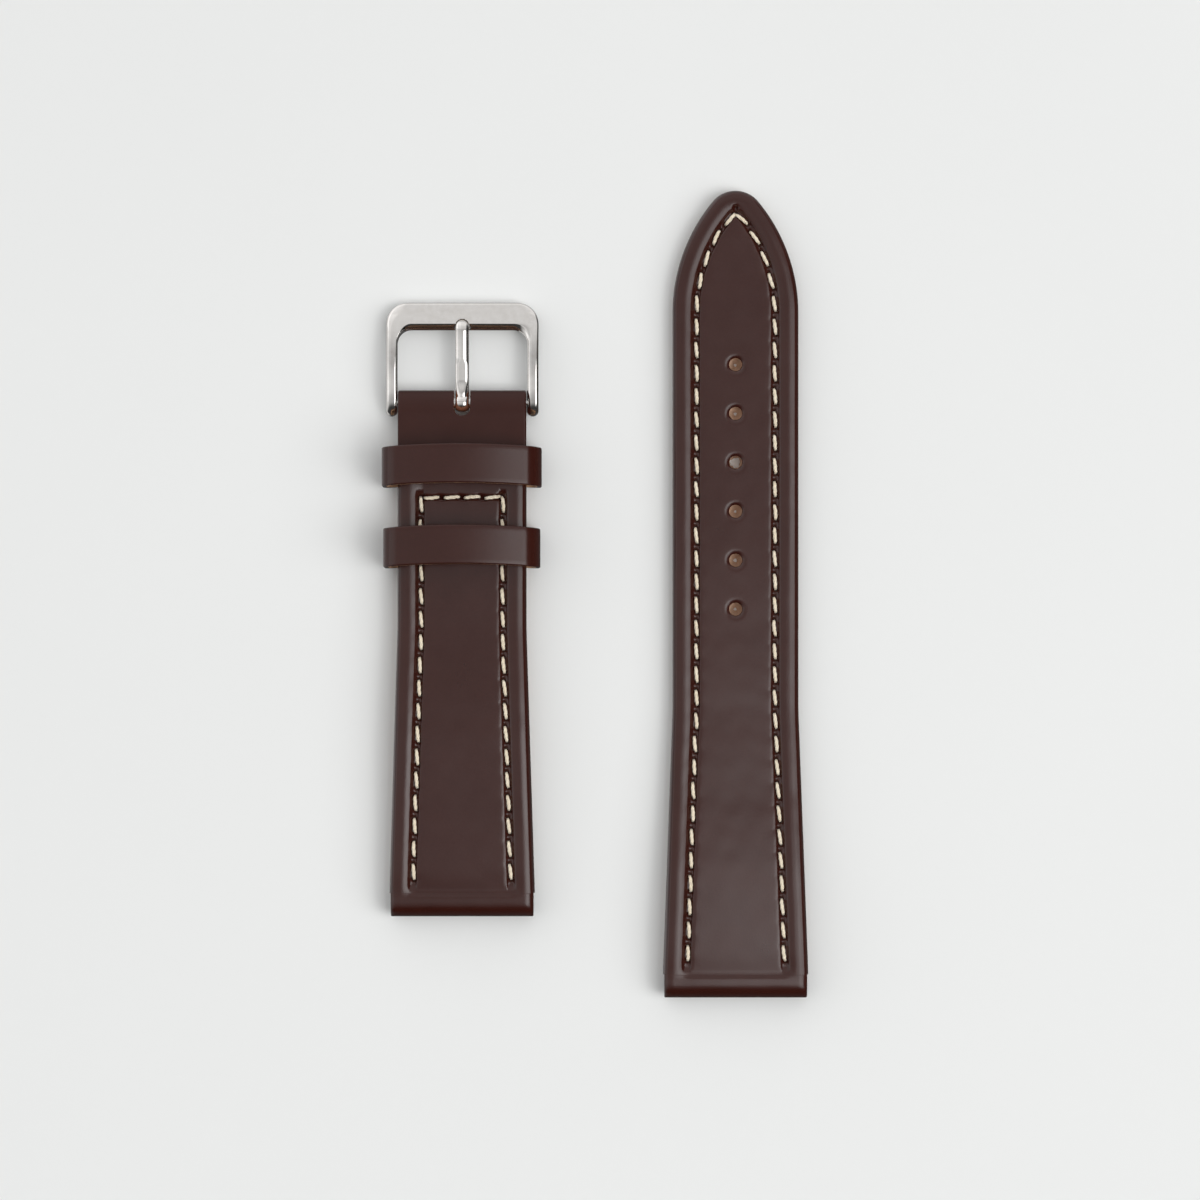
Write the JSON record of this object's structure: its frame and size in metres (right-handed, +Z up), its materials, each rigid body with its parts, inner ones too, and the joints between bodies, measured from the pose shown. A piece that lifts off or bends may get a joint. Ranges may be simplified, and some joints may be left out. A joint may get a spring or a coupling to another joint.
{
  "type": "leather watch strap",
  "caption": "Padded leather watch strap in two halves, with a tang buckle on a spring bar, a fixed and a sliding keeper, and a pointed, holed tail.",
  "frame": {"origin": "centre of the overall footprint, on the surface the strap lies on", "axes": "+Z up out of the surface, +Y from the lug ends towards the buckle and the tail's tip, +X from the buckle half to the holed half"},
  "size_m": [0.0592, 0.1122, 0.0076],
  "materials": {
    "outer_leather": "smooth semi-gloss calf",
    "keeper_leather": "smooth semi-gloss calf",
    "lining_leather": "matt",
    "filler_board": "matt bonded leather",
    "stay_tape": "matt",
    "thread": "waxed twisted thread",
    "polished_steel": "polished",
    "bar_steel": "drawn"
  },
  "bodies": {
    "short_strap": {"short_upper": "outer_leather", "short_filler": "filler_board", "short_stay": "stay_tape", "short_lining": "lining_leather", "short_top_thread": "thread", "short_bobbin_thread": "thread", "fixed_keeper": "keeper_leather", "fixed_keeper_lining": "lining_leather", "spring_bar_tube": "bar_steel", "spring_bar_spring": "bar_steel"},
    "buckle_frame": {"buckle_frame": "polished_steel"},
    "buckle_tongue": {"buckle_tongue": "polished_steel"},
    "free_keeper": {"free_keeper": "keeper_leather", "free_keeper_lining": "lining_leather"},
    "spring_bar_tip_left": {"spring_bar_tip_left": "bar_steel"},
    "spring_bar_tip_right": {"spring_bar_tip_right": "bar_steel"},
    "long_strap": {"long_upper": "outer_leather", "long_filler": "filler_board", "long_stay": "stay_tape", "long_lining": "lining_leather", "long_top_thread": "thread", "long_bobbin_thread": "thread"}
  },
  "joints": [
    {"name": "frame_swing", "type": "hinge", "parent": "short_strap", "child": "buckle_frame", "pos_m": [-0.01852, 0.0266, 0.00197], "axis": [1, 0, 0], "range_deg": [-60, 20]},
    {"name": "tongue_swing", "type": "hinge", "parent": "buckle_frame", "child": "buckle_tongue", "pos_m": [-0.01852, 0.0266, 0.00197], "axis": [1, 0, 0], "range_deg": [0, 80]},
    {"name": "keeper_slide", "type": "slide", "parent": "short_strap", "child": "free_keeper", "axis": [0, 1, 0], "range_m": [-0.014, 0.005]},
    {"name": "left_tip_press", "type": "slide", "parent": "short_strap", "child": "spring_bar_tip_left", "axis": [1, 0, 0], "range_m": [0, 0.00115], "stiffness_N_per_m": 300, "springref_m": -0.001, "deforming": ["spring_bar_spring"]},
    {"name": "right_tip_press", "type": "slide", "parent": "short_strap", "child": "spring_bar_tip_right", "axis": [-1, 0, 0], "range_m": [0, 0.00115], "stiffness_N_per_m": 300, "springref_m": -0.001},
    {"name": "long_half_lift", "type": "slide", "parent": "short_strap", "child": "long_strap", "axis": [0, 0, 1], "range_m": [0, 0.025]}
  ]
}
